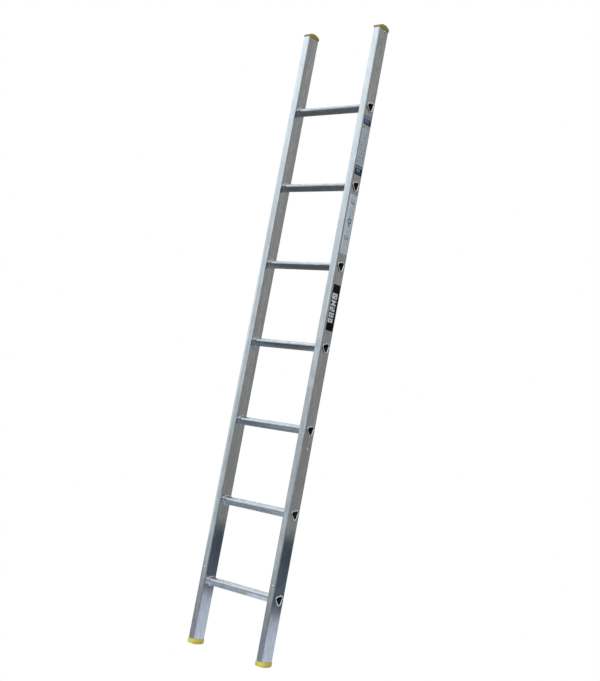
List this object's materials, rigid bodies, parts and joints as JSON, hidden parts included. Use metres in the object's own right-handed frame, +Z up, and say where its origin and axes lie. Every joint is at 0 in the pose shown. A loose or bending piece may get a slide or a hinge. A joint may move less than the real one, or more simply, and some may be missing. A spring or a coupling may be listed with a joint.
{
  "type": "single section ladder",
  "caption": "Straight aluminium ladder section with box stiles, swaged rungs with grooved treads, and yellow plastic feet and top caps.",
  "frame": {"origin": "on the ground, midway between the two stiles and at the middle of their depth", "axes": "+Z up the ladder, +X across it to the climber's right, -Y towards the climber"},
  "size_m": [0.3472, 0.058, 2.1915],
  "materials": {
    "stile_aluminium": "mill extruded",
    "rung_aluminium": "mill extruded",
    "rivet_metal": "satin",
    "yellow_plastic": "moulded",
    "printed_sticker": "printed film",
    "dark_sticker": "printed film"
  },
  "bodies": {
    "root": {"foot_left": "yellow_plastic", "foot_right": "yellow_plastic", "foot_rivet_left": "rivet_metal", "foot_rivet_right": "rivet_metal", "front_rivet_left": "rivet_metal", "front_rivet_right": "rivet_metal", "instruction_label": "printed_sticker", "rating_label": "printed_sticker", "rung_1": "rung_aluminium", "rung_2": "rung_aluminium", "rung_3": "rung_aluminium", "rung_4": "rung_aluminium", "rung_5": "rung_aluminium", "rung_6": "rung_aluminium", "rung_7": "rung_aluminium", "stile_left": "stile_aluminium", "stile_right": "stile_aluminium", "stripe_label": "dark_sticker", "top_cap_left": "yellow_plastic", "top_cap_right": "yellow_plastic", "top_cap_rivet_left": "rivet_metal", "top_cap_rivet_right": "rivet_metal", "web_rivet_right": "rivet_metal"}
  },
  "joints": []
}
